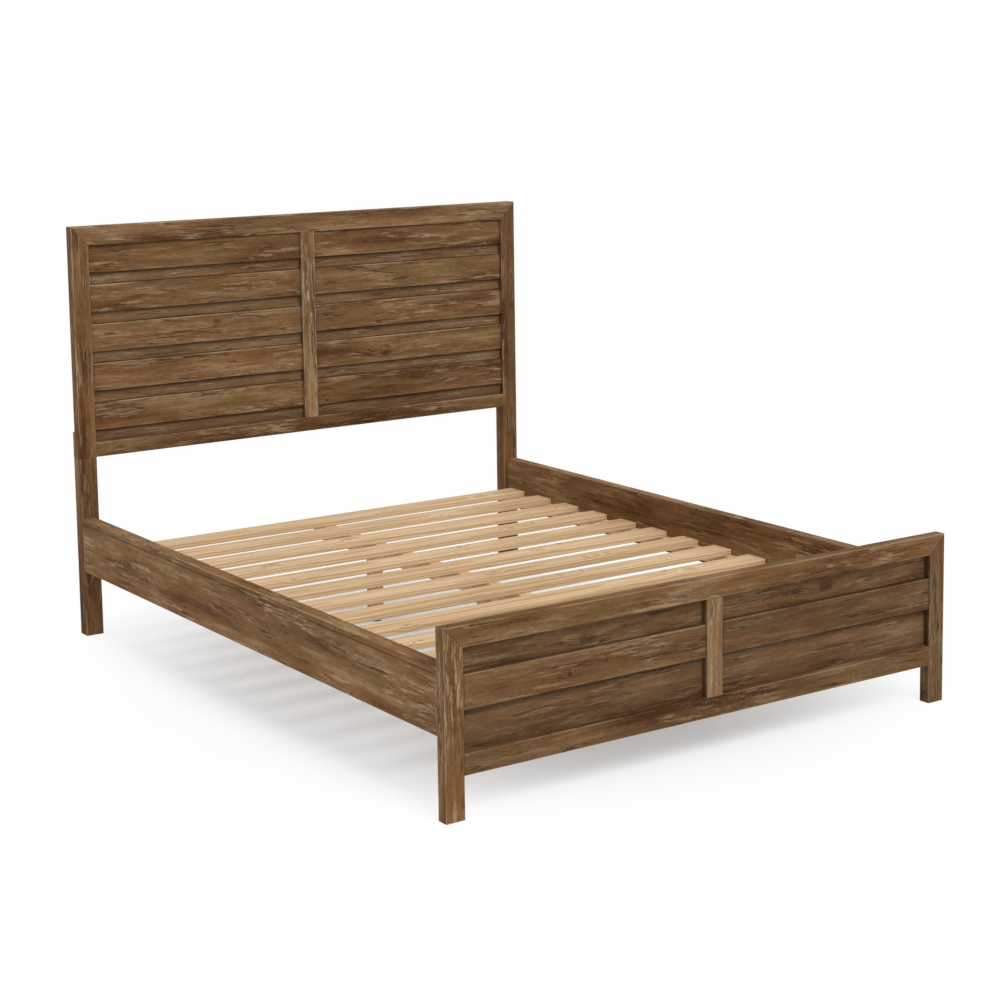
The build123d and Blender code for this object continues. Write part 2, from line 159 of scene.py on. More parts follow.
def knot_fields(tree, point, place, grain, knots):
    """How dark the knots are at a point, and how far they push the grain aside there."""
    stretch = [0.5 if axis == grain else 1.0 for axis in grain_axes]
    dark = 0.0
    swell = 0.0
    for centre, radius in knots:
        from_knot = vector(tree, "MULTIPLY", vector(tree, "SUBTRACT", point, centre), stretch)
        distance = measure(tree, "LENGTH", from_knot)
        uneven = noise(tree, place, (70.0, 70.0, 70.0), 3.0)
        ragged = figure(tree, "MULTIPLY_ADD", uneven, radius, distance)
        dark = figure(tree, "MAXIMUM", dark, between(tree, ragged, 1.5 * radius, 0.6 * radius))
        swell = figure(tree, "MAXIMUM", swell, between(tree, distance, 3.5 * radius, 0.0))
    return dark, swell


def new_finish(name):
    """An empty material with its shader, ready for a finish."""
    finish = bpy.data.materials.new(name)
    finish.use_nodes = True
    tree = finish.node_tree
    return finish, tree, tree.nodes["Principled BSDF"]


def join_surface(tree, shader, colour, roughness, height, strength, depth):
    """Joins a colour, a roughness and the relief of a height to the shader of a finish."""
    relief = add_node(tree, "Bump", {"Strength": strength, "Distance": depth, "Height": height})
    tree.links.new(colour, shader.inputs["Base Color"])
    tree.links.new(roughness, shader.inputs["Roughness"])
    tree.links.new(relief.outputs[0], shader.inputs["Normal"])


def dress(node, finish):
    """Puts a finish on a node of the frame."""
    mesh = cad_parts[node].data
    mesh.materials.clear()
    mesh.materials.append(finish)


def rustic_timber(
    node,
    grain,
    tone=1.0,
    wear=0.70,
    zones=0.12,
    edge=0.6,
    seams=(),
    seam_back=None,
    knots=(),
    bay=None,
    cast=(1.0, 1.0, 1.0),
):
    """Brown, worn, reclaimed-look timber for one piece, cut from its own place in the log."""
    draw = random.Random(node)
    offset = [draw.uniform(-log_reach, log_reach) for axis in grain_axes]
    finish, tree, shader = new_finish("rustic_" + node)
    point, place = grain_place(tree, grain, offset)

    # The grain wanders, and bends round the knots
    knot_dark, knot_swell = knot_fields(tree, point, place, grain, knots)
    sway = noise(tree, place, (1.1, 6.0, 6.0), 2.0)
    ripple = noise(tree, place, (9.0, 32.0, 32.0), 3.0)
    wander = figure(tree, "MULTIPLY_ADD", sway, 0.020, figure(tree, "MULTIPLY", ripple, 0.006))
    split = add_node(tree, "SeparateXYZ", {0: place}).outputs
    across = figure(tree, "ADD", split[1], figure(tree, "MULTIPLY_ADD", knot_swell, 0.016, wander))
    bent = add_node(tree, "CombineXYZ", {0: split[0], 1: across, 2: split[2]}).outputs[0]

    # Broad patches where the stain took or didn't, streaks along the grain, and a fine grit
    zone = between(tree, noise(tree, place, (0.9, 12.0, 12.0), 2.0), 0.35, 0.65, -0.5, 0.5)
    blotch = noise(tree, bent, (3.2, 17.0, 17.0), 6.0, 0.60)
    streak = noise(tree, bent, (5.5, 90.0, 90.0), 5.0, 0.66)
    grit = noise(tree, bent, (70.0, 270.0, 270.0), 4.0, 0.70)
    fibre = noise(tree, bent, (17.0, 360.0, 360.0), 3.0, 0.6)
    depth = figure(tree, "MULTIPLY_ADD", blotch, 0.48, figure(tree, "MULTIPLY", zone, zones))
    depth = figure(tree, "MULTIPLY_ADD", streak, 0.29, depth)
    depth = figure(tree, "MULTIPLY_ADD", grit, 0.23, depth)
    stained = tint(tree, between(tree, depth, 0.35, 0.51), stain_deep, stain_brown)
    stained = tint(tree, between(tree, depth, 0.49, 0.66), stained, stain_straw)
    warmth = between(tree, noise(tree, place, (2.4, 13.0, 13.0), 3.0), 0.38, 0.62)
    stained = tint(tree, 1.0, stained, tint(tree, warmth, olive_cast, russet_cast), "MULTIPLY")

    # Pale wear in ragged flakes, with fine dark crazing among them, and here and there on the arrises
    flake = noise(tree, bent, (10.0, 95.0, 95.0), 6.0, 0.74)
    flake_zone = between(tree, noise(tree, place, (2.8, 14.0, 14.0), 3.0), 0.50, 0.64)
    rubbed = figure(tree, "MULTIPLY", between(tree, flake, 0.50, 0.59), flake_zone)
    craze_field = figure(tree, "SUBTRACT", noise(tree, bent, (26.0, 150.0, 150.0), 4.0, 0.65), 0.5)
    craze = between(tree, figure(tree, "ABSOLUTE", craze_field), 0.040, 0.012)
    craze = figure(tree, "MULTIPLY", craze, flake_zone)
    low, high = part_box(node)
    from_arris = figure(tree, "MULTIPLY_ADD", streak, 0.006, arris_distance(tree, point, low, high))
    arris_wear = between(tree, from_arris, 0.0062, 0.0034)
    arris_wear = figure(tree, "MULTIPLY", arris_wear, between(tree, blotch, 0.40, 0.54))
    stained = tint(tree, figure(tree, "MULTIPLY", rubbed, wear), stained, worn_pale)
    stained = tint(tree, figure(tree, "MULTIPLY", arris_wear, edge), stained, worn_pale)
    stained = tint(tree, figure(tree, "MULTIPLY", craze, 0.60 * wear), stained, stain_deep)

    # Open pores, and drying checks that run with the grain and have one paler lip
    pore = between(tree, noise(tree, bent, (30.0, 210.0, 210.0), 2.0), 0.61, 0.69)
    check_field = figure(tree, "SUBTRACT", noise(tree, bent, (3.2, 62.0, 62.0), 3.0, 0.6), 0.5)
    check_gate = between(tree, noise(tree, place, (7.0, 30.0, 30.0), 2.0), 0.51, 0.60)
    check = between(tree, figure(tree, "ABSOLUTE", check_field), 0.030, 0.008)
    check = figure(tree, "MULTIPLY", check, check_gate)
    lip_near = between(tree, check_field, 0.02, 0.04)
    lip_far = between(tree, check_field, 0.10, 0.05)
    lip = figure(tree, "MULTIPLY", figure(tree, "MULTIPLY", lip_near, lip_far), check_gate)
    stained = tint(tree, figure(tree, "MULTIPLY", pore, 0.30), stained, stain_deep)
    stained = tint(tree, figure(tree, "MULTIPLY", lip, 0.30), stained, worn_pale)

    # Knots, dark joint lines where another piece meets this one, and painted shade in the bays and
    # under, over and beside the boards
    check_dark = figure(tree, "MULTIPLY", check, 0.62)
    dark = figure(tree, "MAXIMUM", check_dark, figure(tree, "MULTIPLY", knot_dark, 0.75))
    seam_dark_and_shade = seam_lines_and_shade(tree, point, seams)
    if seam_back is not None:
        from_front = add_node(tree, "SeparateXYZ", {0: point}).outputs[1]
        seam_dark_and_shade = figure(tree, "MULTIPLY", seam_dark_and_shade, figure(tree, "LESS_THAN", from_front, seam_back))
    dark = figure(tree, "MAXIMUM", dark, seam_dark_and_shade)
    if bay:
        dark = figure(tree, "MAXIMUM", dark, painted_bay_shade(tree, point, bay))
    stained = tint(tree, dark, stained, seam_and_shade_brown)
    stained = tint(tree, 1.0, stained, [tone * share for share in cast] + [1.0], "MULTIPLY")

    height = figure(tree, "MULTIPLY_ADD", fibre, 0.5, figure(tree, "MULTIPLY", streak, 0.6))
    height = figure(tree, "SUBTRACT", height, check)
    dryness = between(tree, fibre, 0.3, 0.7, 0.82, 0.62)
    join_surface(tree, shader, stained, dryness, height, strength=0.6, depth=0.0009)
    shader.inputs["Specular IOR Level"].default_value = 0.08
    dress(node, finish)


def mitre_seams(frame_name, upright, share):
    """The planes of the two mitres, from the outer top corner to the corner of the bay."""
    rail_low, rail_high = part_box(frame_name + "_top_rail")
    post_low, post_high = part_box(f"{frame_name}_left_{upright}")
    slope = Vector((rail_high.z - rail_low.z, 0.0, post_high.x - post_low.x)).normalized()
    mirrored = Vector((-slope.x, 0.0, slope.z))
    distance = slope.dot(Vector((post_low.x, 0.0, rail_high.z)))
    return [(slope, distance, seam_line, share), (mirrored, distance, seam_line, share)]


def bay_before(frame_name, upright, piece):
    """The corners of the bays of a frame, from the front of a piece in them back to the panel."""
    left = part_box(f"{frame_name}_left_{upright}")[1].x
    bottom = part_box(frame_name + "_bottom_rail")[1].z
    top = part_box(frame_name + "_top_rail")[0].z
    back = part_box(frame_name + "_back_panel")[0].y
    return Vector((left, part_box(piece)[0].y, bottom)), Vector((-left, back, top))


upward = Vector((0.0, 0.0, 1.0))
sideways = Vector((1.0, 0.0, 0.0))
seam_line = 0.0013
greyed = (0.93, 1.04, 1.20)
# Each bay carries painted shade on the walls of its recess, deepest at the panel
headboard_bay = bay_before("headboard", "stile", "headboard_top_rail")
headboard_mitres = mitre_seams("headboard", "stile", share=0.30)
stile_low, stile_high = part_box("headboard_left_stile")
leg_joint_share = 0.85
leg_joint = [(upward, stile_low.z, seam_line, leg_joint_share)]
leg_knot_radius = 0.005
leg_knot = ((-0.787, stile_low.y, 0.141), leg_knot_radius)
for side, stile_tone, own_knots in (("left", 0.96, [leg_knot]), ("right", 0.76, [])):
    rustic_timber(
        f"headboard_{side}_leg",
        "Z",
        tone=0.86,
        seams=leg_joint,
        seam_back=stile_high.y,
        knots=own_knots,
    )
    rustic_timber(
        f"headboard_{side}_stile",
        "Z",
        tone=stile_tone,
        seams=headboard_mitres + leg_joint,
        bay=headboard_bay,
        cast=(0.99, 1.00, 1.04),
    )
rustic_timber(
    "headboard_top_rail",
    "X",
    tone=1.08,
    seams=headboard_mitres,
    bay=headboard_bay,
    cast=(0.95, 1.01, 1.10),
)
rustic_timber("headboard_bottom_rail", "X", tone=0.80, bay=headboard_bay)
rustic_timber("headboard_centre_stile", "Z", tone=1.3, bay=headboard_bay, cast=greyed)

# Headboard panel and boards: a thin panel let into a rebate from behind, and five wide boards in each
# bay, nailed flat on it with a bare strip of panel left under every board.
board_numbers = range(1, 6)
# How far the painted shade reaches from a joint, and its share there
board_end_shade = (0.008, 0.55)
top_rail_shadow = (0.005, 0.60)


def board_ends(board):
    """The planes at the two ends of a board, where it meets the uprights, with the painted shade that
    falls there.
    """
    return [(sideways, corner.x, *board_end_shade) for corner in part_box(board)]


def panel_shade_planes(frame_name, boards, under_board, over_board, over_bottom_rail):
    """Where painted shade falls on a panel: under and over its boards, at their ends and over the bottom
    rail, with a reach and share.
    """
    seams = [(upward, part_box(frame_name + "_bottom_rail")[1].z, *over_bottom_rail)]
    for way, end, reach, share in board_ends(boards[0]):
        seams += [(way, end, reach, share), (way, -end, reach, share)]
    for board in boards:
        low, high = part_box(board)
        seams += [(upward, low.z, *under_board), (upward, high.z, *over_board)]
    return seams


left_boards = [f"headboard_board_left_{number}" for number in board_numbers]
panel_low, panel_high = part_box("headboard_back_panel")
# The panel carries painted shade under and over each board, at the board ends and over the bottom rail
rustic_timber(
    "headboard_back_panel",
    "X",
    tone=1.03,
    wear=0.2,
    zones=0.02,
    seams=panel_shade_planes(
        "headboard",
        left_boards,
        under_board=(0.021, 0.54),
        over_board=(0.005, 0.75),
        over_bottom_rail=(0.036, 0.32),
    ),
    seam_back=(panel_low.y + panel_high.y) / 2,
    cast=greyed,
)
board_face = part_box(left_boards[0])[0].y
# Where the knots lie on the boards' faces, and their radii
board_knots = {
    "headboard_board_right_4": [((0.292, board_face, 0.795), 0.017)],
    "headboard_board_left_3": [((-0.329, board_face, 0.952), 0.012)],
}
# Painted shadow on each top board just under the top rail, and painted shade at every board's ends
under_top_rail = [(upward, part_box(left_boards[0])[1].z, *top_rail_shadow)]
for side in ("left", "right"):
    for number in board_numbers:
        board = f"headboard_board_{side}_{number}"
        board_bay = bay_before("headboard", "stile", board)
        board_shade_planes = board_ends(board) + (under_top_rail if number == 1 else [])
        rustic_timber(
            board,
            "X",
            tone=0.84,
            edge=1.0,
            seams=board_shade_planes,
            knots=board_knots.get(board, ()),
            bay=board_bay,
        )

# Splines: short tongues of plain softwood glued across the four mitres, out of sight in the frames.
# They keep the corners from opening.
pine_early = (0.630, 0.455, 0.275, 1.0)
pine_late = (0.490, 0.305, 0.150, 1.0)
pine_knot = (0.210, 0.095, 0.038, 1.0)
pine_dull_cast = (0.90, 0.87, 0.82, 1.0)
pine_bright_cast = (1.04, 1.04, 1.03, 1.0)
pine_knot_radius = (0.004, 0.009)
heart_below = (0.03, 0.06)
heart_aside = (-0.015, 0.015)


def planed_pine(node, grain, rings_per_metre=150.0, knot_count=0):
    """Pale planed softwood that shows the growth rings of its own log."""
    draw = random.Random(node)
    low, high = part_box(node)
    centre = (low + high) / 2
    heart = [draw.uniform(*span) for span in ((-log_reach, log_reach), heart_below, heart_aside)]
    offset = [from_heart - centre[axis] for from_heart, axis in zip(heart, grain_axes[grain])]
    knots = []
    for knot in range(knot_count):
        knot_centre = [draw.uniform(low[axis], high[axis]) for axis in range(3)]
        knot_centre[2] = high.z
        knots.append((knot_centre, draw.uniform(*pine_knot_radius)))
    finish, tree, shader = new_finish("pine_" + node)
    point, place = grain_place(tree, grain, offset)
    knot_dark, knot_swell = knot_fields(tree, point, place, grain, knots)

    # Rings round the heart of the log, a little out of round and cut at a slight slope
    waver = noise(tree, place, (1.6, 14.0, 14.0), 3.0)
    square = vector(tree, "MULTIPLY", place, (0.0, 1.0, 1.0))
    radius = figure(tree, "MULTIPLY_ADD", waver, 0.020, measure(tree, "LENGTH", square))
    radius = figure(tree, "MULTIPLY_ADD", knot_swell, 0.008, radius)
    slope = add_node(tree, "SeparateXYZ", {0: place}).outputs[0]
    radius = figure(tree, "MULTIPLY_ADD", slope, 0.006, radius)
    age = figure(tree, "FRACT", figure(tree, "MULTIPLY", radius, rings_per_metre))
    late = figure(tree, "MULTIPLY", between(tree, age, 0.35, 0.88), between(tree, age, 1.0, 0.90))

    # Fine fibres, and broad duller and brighter patches
    fibre = noise(tree, place, (14.0, 420.0, 420.0), 3.0, 0.6)
    tone = noise(tree, place, (1.2, 9.0, 9.0), 3.0)
    shade = figure(tree, "MULTIPLY_ADD", fibre, 0.5, figure(tree, "MULTIPLY", late, 0.5))
    wood = tint(tree, between(tree, shade, 0.18, 0.72), pine_early, pine_late)
    cast = tint(tree, between(tree, tone, 0.36, 0.64), pine_dull_cast, pine_bright_cast)
    wood = tint(tree, 1.0, wood, cast, "MULTIPLY")
    wood = tint(tree, figure(tree, "MULTIPLY", knot_dark, 0.85), wood, pine_knot)
    height = figure(tree, "MULTIPLY_ADD", fibre, 0.6, figure(tree, "MULTIPLY", late, 0.4))
    dryness = between(tree, fibre, 0.3, 0.7, 0.70, 0.52)
    join_surface(tree, shader, wood, dryness, height, strength=0.35, depth=0.0004)
    shader.inputs["Specular IOR Level"].default_value = 0.25
    dress(node, finish)


planed_pine("mitre_splines", "X")

# Headboard leg bolts: four flat-headed connector bolts with hexagon sockets, zinc-plated steel, driven
# from behind through the tongue of each leg into the stile.
zinc_grey = (0.46, 0.47, 0.48, 1.0)
zinc_warm = (0.58, 0.555, 0.50, 1.0)
leg_bolt_head = 0.0068
leg_bolt_head_depth = 0.0035
leg_bolt_edge = 0.0006
leg_bolt_shank = 0.0040
leg_bolt_length = 0.0320
leg_bolt_socket = 0.0029
leg_bolt_socket_depth = 0.0028
leg_bolt_from_edge = 0.020
leg_bolt_from_top = 0.016
leg_bolt_spacing = 0.028
leg_bolt_sunk = 0.0002
leg_bolt_sides = 36
crease_angle = math.radians(32)


def zinc_plate():
    """Bright zinc plate, dulled in patches and lightly scuffed."""
    finish, tree, shader = new_finish("zinc_plated_steel")
    point = own_point(tree)
    smear = noise(tree, point, (140.0, 140.0, 140.0), 4.0, 0.6)
    scuff = noise(tree, point, (900.0, 2600.0, 900.0), 3.0, 0.6)
    plate = tint(tree, between(tree, smear, 0.38, 0.62), zinc_grey, zinc_warm)
    dullness = between(tree, smear, 0.35, 0.65, 0.26, 0.46)
    join_surface(tree, shader, plate, dullness, scuff, strength=0.2, depth=0.0001)
    shader.inputs["Metallic"].default_value = 1.0
    return finish


def turned_form(sections, around):
    """A form between rings of radius and height, from its top down, and the face at its top."""
    form = bmesh.new()
    radius, height = sections[0]
    bmesh.ops.create_circle(form, cap_ends=True, segments=around, radius=radius)
    bmesh.ops.translate(form, vec=(0.0, 0.0, height), verts=form.verts)
    top = form.faces[:][0]
    ring = form.edges[:]
    for next_radius, next_height in sections[1:]:
        made = bmesh.ops.extrude_edge_only(form, edges=ring)["geom"]
        verts = [part for part in made if isinstance(part, bmesh.types.BMVert)]
        edges = [part for part in made if isinstance(part, bmesh.types.BMEdge)]
        ring = [edge for edge in edges if set(edge.verts) <= set(verts)]
        taper = next_radius / radius
        bmesh.ops.scale(form, vec=(taper, taper, 1.0), verts=verts)
        bmesh.ops.translate(form, vec=(0.0, 0.0, next_height - height), verts=verts)
        radius, height = next_radius, next_height
    bmesh.ops.edgeloop_fill(form, edges=ring)
    bmesh.ops.recalc_face_normals(form, faces=form.faces)
    return form, top


def sink_recess(form, top, outline, rim, depth, taper):
    """Sinks a driver's recess, whose outline gives a point for each angle, into the top of a head."""
    bmesh.ops.inset_region(form, faces=[top], thickness=rim)
    for vert in top.verts:
        vert.co.xy = outline(math.atan2(vert.co.y, vert.co.x))
    floor = bmesh.ops.extrude_discrete_faces(form, faces=[top])["faces"][0]
    bmesh.ops.translate(form, vec=(0.0, 0.0, -depth), verts=floor.verts)
    bmesh.ops.scale(form, vec=(taper, taper, 1.0), verts=floor.verts)


def copies(form, places):
    """One form that holds a copy of the form at each place."""
    pattern = bpy.data.meshes.new("pattern")
    form.to_mesh(pattern)
    form.free()
    whole = bmesh.new()
    for place in places:
        whole.from_mesh(pattern)
        whole.verts.ensure_lookup_table()
        bmesh.ops.transform(whole, matrix=place, verts=whole.verts[-len(pattern.vertices):])
    bpy.data.meshes.remove(pattern)
    return whole


def finished_piece(name, form, finish, body, slot, *nodes):
    """A piece made of a form, riding on a body in place of nodes of the frame."""
    mesh = bpy.data.meshes.new(name)
    form.to_mesh(mesh)
    form.free()
    mesh.materials.append(finish)
    mesh.polygons.foreach_set("use_smooth", [True] * len(mesh.polygons))
    mesh.set_sharp_from_angle(angle=crease_angle)
    piece = bpy.data.objects.new(name, mesh)
    bpy.context.scene.collection.objects.link(piece)
    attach(piece, body)
    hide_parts(*nodes)


def hexagon(angle):
    """A point on the hexagon socket at an angle."""
    sixth = math.pi / 3
    reach = leg_bolt_socket / math.cos(angle % sixth - sixth / 2)
    return reach * math.cos(angle), reach * math.sin(angle)


zinc_steel = zinc_plate()
leg_bolt_sections = [
    (leg_bolt_head - leg_bolt_edge, 0.0),
    (leg_bolt_head, -leg_bolt_edge),
    (leg_bolt_head, -leg_bolt_head_depth),
    (leg_bolt_shank, -leg_bolt_head_depth),
    (leg_bolt_shank, -leg_bolt_length),
]
leg_bolt_form, leg_bolt_top = turned_form(leg_bolt_sections, leg_bolt_sides)
leg_bolt_rim = 0.5 * (leg_bolt_head - leg_bolt_edge - leg_bolt_socket)
sink_recess(leg_bolt_form, leg_bolt_top, hexagon, leg_bolt_rim, leg_bolt_socket_depth, taper=1.0)
leg_bolt_places = []
for side in ("left", "right"):
    leg_low, leg_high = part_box(f"headboard_{side}_leg")
    outer = leg_low.x + leg_bolt_from_edge if side == "left" else leg_high.x - leg_bolt_from_edge
    for row in range(2):
        height = leg_high.z - leg_bolt_from_top - row * leg_bolt_spacing
        place = Matrix.Translation((outer, leg_high.y - leg_bolt_sunk, height))
        leg_bolt_places.append(place @ Matrix.Rotation(math.radians(-90), 4, "X"))
leg_bolts = copies(leg_bolt_form, leg_bolt_places)
finished_piece("socket_leg_bolts", leg_bolts, zinc_steel, "bed", "zinc_steel", "headboard_leg_bolts")

# Footboard: posts that reach the floor, mitred to a top rail, with a bottom rail, a centre stile, a
# panel in the rebate and one board across each bay, all finished as the headboard is.
# The footboard's bays carry painted shade on the walls of their recesses, deepest at the panel
footboard_bay = bay_before("footboard", "post", "footboard_top_rail")
footboard_mitres = mitre_seams("footboard", "post", share=0.60)
small_knot_radius = 0.0045
small_knot = ((-0.453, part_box("footboard_board_left")[0].y, 0.296), small_knot_radius)
footboard_sides = (("left", 0.94, 0.75, [small_knot]), ("right", 0.56, 0.53, []))
for side, post_tone, board_tone, own_knots in footboard_sides:
    board = "footboard_board_" + side
    board_bay = bay_before("footboard", "post", board)
    post = f"footboard_{side}_post"
    rustic_timber(post, "Z", tone=post_tone, seams=footboard_mitres, bay=footboard_bay)
    # Painted shade at the board's ends, by the post and the centre stile
    rustic_timber(
        board,
        "X",
        tone=board_tone,
        wear=0.5,
        zones=0.06,
        seams=board_ends(board),
        knots=own_knots,
        bay=board_bay,
    )
panel_low, panel_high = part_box("footboard_back_panel")
panel_knots = [((-0.388, panel_low.y, 0.374), 0.021), ((0.395, panel_low.y, 0.383), 0.018)]
# The panel carries painted shade under and over its board, at the board ends and over the bottom rail
rustic_timber(
    "footboard_back_panel",
    "X",
    tone=0.82,
    wear=0.3,
    zones=0.08,
    seams=panel_shade_planes(
        "footboard",
        ["footboard_board_left"],
        under_board=(0.034, 0.46),
        over_board=(0.003, 0.45),
        over_bottom_rail=(0.130, 0.26),
    ),
    seam_back=(panel_low.y + panel_high.y) / 2,
    knots=panel_knots,
    cast=(0.97, 1.02, 1.10),
)
rustic_timber(
    "footboard_top_rail",
    "X",
    tone=0.84,
    wear=0.5,
    zones=0.08,
    seams=footboard_mitres,
    bay=footboard_bay,
)
rustic_timber("footboard_bottom_rail", "X", tone=0.69, wear=0.5, bay=footboard_bay)
rustic_timber("footboard_centre_stile", "Z", tone=1.05, bay=footboard_bay, cast=greyed)

# Rail fittings: hook plates in the rail ends and slotted plates in the legs and posts, stamped steel
# with a zinc plate, each held by countersunk screws. They are out of sight once the bed is up.
for fitting in ("rail_hook_plates", "rail_slot_plates", "rail_plate_screws"):
    dress(fitting, zinc_steel)

# Side rails: deep planks between the posts, hooked to them at both ends, with a line scored along the
# outer face a little below the top.
score_drop = 0.018
score_line = 0.0022
score_slope = 0.44
score_share = 0.65
for side, facing in (("left", -1.0), ("right", 1.0)):
    rail_low, rail_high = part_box(f"{side}_side_rail")
    outer = rail_low.x if side == "left" else rail_high.x
    score = Vector((facing * score_slope, 0.0, 1.0)).normalized()
    score_distance = score.dot(Vector((outer, 0.0, rail_high.z - score_drop)))
    score_seam = (score, score_distance, score_line, score_share)
    rustic_timber(f"{side}_side_rail", "Y", tone=1.07, seams=[score_seam])

# Slat cleats: a batten of planed softwood along the inside of each rail, held by six long countersunk
# screws with cross recesses.
screw_head = 0.0041
screw_head_depth = 0.0025
screw_shank = 0.0020
screw_point = 0.0004
screw_proud = 0.00015
screw_rim = 0.0012
screw_sides = 24
cross_reach = 0.0024
cross_half_width = 0.0006
cross_depth = 0.0017
cross_taper = 0.7
cleat_screw_length = 0.055


def cross(angle):
    """A point on the cross recess at an angle: four arms, with corners on the diagonals."""
    x, y = cross_reach * math.cos(angle), cross_reach * math.sin(angle)
    lesser = min(abs(x), abs(y))
    if lesser > cross_half_width:
        on_diagonal = abs(abs(x) - abs(y)) < 0.1 * cross_reach
        shrink = cross_half_width / lesser if on_diagonal else 1.0
        x, y = x * shrink, y * shrink
    if abs(x) > abs(y):
        return x, max(-cross_half_width, min(cross_half_width, y))
    return max(-cross_half_width, min(cross_half_width, x)), y


def countersunk_screw(length):
    """A countersunk wood screw with a cross recess, its head at the origin and its point down."""
    sections = [
        (screw_head, screw_proud),
        (screw_shank, -screw_head_depth),
        (screw_shank, screw_shank - length),
        (screw_point, -length),
    ]
    form, top = turned_form(sections, screw_sides)
    sink_recess(form, top, cross, screw_rim, cross_depth, cross_taper)
    return form


def turn_of(draw):
    """A screw left at whatever angle it came up tight."""
    return Matrix.Rotation(draw.uniform(0.0, math.tau), 4, "Z")


slat_numbers = range(1, 14)
slat_boxes = [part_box(f"slat_{number:02d}") for number in slat_numbers]
slat_ys = [(low.y + high.y) / 2 for low, high in slat_boxes]
screw_turns = random.Random("screws")
cleat_screw_places = []
for side, turn in (("left", 90), ("right", -90)):
    planed_pine(f"{side}_slat_cleat", "Y")
    cleat_low, cleat_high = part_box(f"{side}_slat_cleat")
    inner = cleat_high.x if side == "left" else cleat_low.x
    for before, after in zip(slat_ys[0:-1:2], slat_ys[1::2]):
        place = Matrix.Translation((inner, (before + after) / 2, (cleat_low.z + cleat_high.z) / 2))
        sideways_in = place @ Matrix.Rotation(math.radians(turn), 4, "Y")
        cleat_screw_places.append(sideways_in @ turn_of(screw_turns))
cleat_screws = copies(countersunk_screw(cleat_screw_length), cleat_screw_places)
finished_piece("crosshead_cleat_screws", cleat_screws, zinc_steel, "bed", "zinc_steel", "cleat_screws")

# Centre beam and support legs: a softwood beam under the slats on three squared legs, each hung on a
# double-ended bolt and fitted with a flanged insert for its foot.
support_numbers = range(1, 4)
planed_pine("centre_beam", "Y")
for number in support_numbers:
    planed_pine(f"support_leg_{number}", "Z", knot_count=1)
for fitting in ("support_leg_bolts", "foot_inserts"):
    dress(fitting, zinc_steel)

# Levelling feet: a moulded black pad with a gripped rim on a threaded steel stud, which screws into the
# insert in the end of each support leg.
pad_black = (0.020, 0.020, 0.021, 1.0)
pad_scuffed = (0.062, 0.061, 0.060, 1.0)
pad_sections = [(0.010, 0.010), (0.019, 0.006), (0.019, 0.0015), (0.0175, 0.0)]
pad_sides = 12
pad_easing = 0.0007
stud_core = 0.0034
stud_crest = 0.0040
thread_pitch = 0.00125
thread_steps = 20
weld_distance = 0.00001


def moulded_pad():
    """Black moulded plastic with a fine spark grain and scuffs."""
    finish, tree, shader = new_finish("moulded_pad")
    point = own_point(tree)
    spark = noise(tree, point, (2200.0, 2200.0, 2200.0), 2.0)
    scuff = noise(tree, point, (160.0, 160.0, 420.0), 5.0, 0.65)
    skin = tint(tree, between(tree, scuff, 0.52, 0.68), pad_black, pad_scuffed)
    dullness = between(tree, scuff, 0.35, 0.65, 0.42, 0.62)
    join_surface(tree, shader, skin, dullness, spark, strength=0.4, depth=0.0001)
    return finish


def threaded_stud(bottom, top):
    """A stud with a thread wound round it, cut off square at both ends."""
    form = bmesh.new()
    outline = [(stud_core, 0.0), (stud_crest, 0.45), (stud_crest, 0.55), (stud_core, 1.0)]
    start = bottom - thread_pitch
    verts = [form.verts.new((radius, 0.0, start + share * thread_pitch)) for radius, share in outline]
    edges = [form.edges.new(pair) for pair in zip(verts, verts[1:])]
    turns = math.ceil((top - start) / thread_pitch) + 1
    bmesh.ops.spin(
        form,
        geom=verts + edges,
        axis=(0.0, 0.0, 1.0),
        cent=(0.0, 0.0, 0.0),
        dvec=(0.0, 0.0, thread_pitch / thread_steps),
        angle=math.tau * turns,
        steps=thread_steps * turns,
    )
    bmesh.ops.remove_doubles(form, verts=form.verts, dist=weld_distance)
    for height, outward in ((bottom, -1.0), (top, 1.0)):
        cut = bmesh.ops.bisect_plane(
            form,
            geom=form.verts[:] + form.edges[:] + form.faces[:],
            plane_co=(0.0, 0.0, height),
            plane_no=(0.0, 0.0, outward),
            clear_outer=True,
        )["geom_cut"]
        rim = [part for part in cut if isinstance(part, bmesh.types.BMEdge)]
        bmesh.ops.edgeloop_fill(form, edges=rim)
    bmesh.ops.recalc_face_normals(form, faces=form.faces)
    return form


pad_plastic = moulded_pad()
for number in support_numbers:
    plain_foot = f"levelling_foot_{number}"
    foot_low, foot_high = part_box(plain_foot)
    foot_centre = Matrix.Translation((0.0, (foot_low.y + foot_high.y) / 2, foot_low.z))
    pad = turned_form(pad_sections, pad_sides)[0]
    bmesh.ops.bevel(
        pad,
        geom=pad.edges[:],
        offset=pad_easing,
        affect="EDGES",
        segments=3,
        profile=0.5,
        material=-1,
    )
    bmesh.ops.transform(pad, matrix=foot_centre, verts=pad.verts)
    stud = threaded_stud(pad_sections[0][1], foot_high.z - foot_low.z)
    bmesh.ops.transform(stud, matrix=foot_centre, verts=stud.verts)
    foot = f"foot_{number}"
    finished_piece(f"foot_pad_{number}", pad, pad_plastic, foot, "foot_plastic", plain_foot)
    finished_piece(f"foot_stud_{number}", stud, zinc_steel, foot, "zinc_steel", plain_foot)

# Slats: thirteen planed softwood slats across the bay, each with its own rings and a few small knots,
# laid on the cleats and the beam.
for number in slat_numbers:
    planed_pine(f"slat_{number:02d}", "X", knot_count=3)

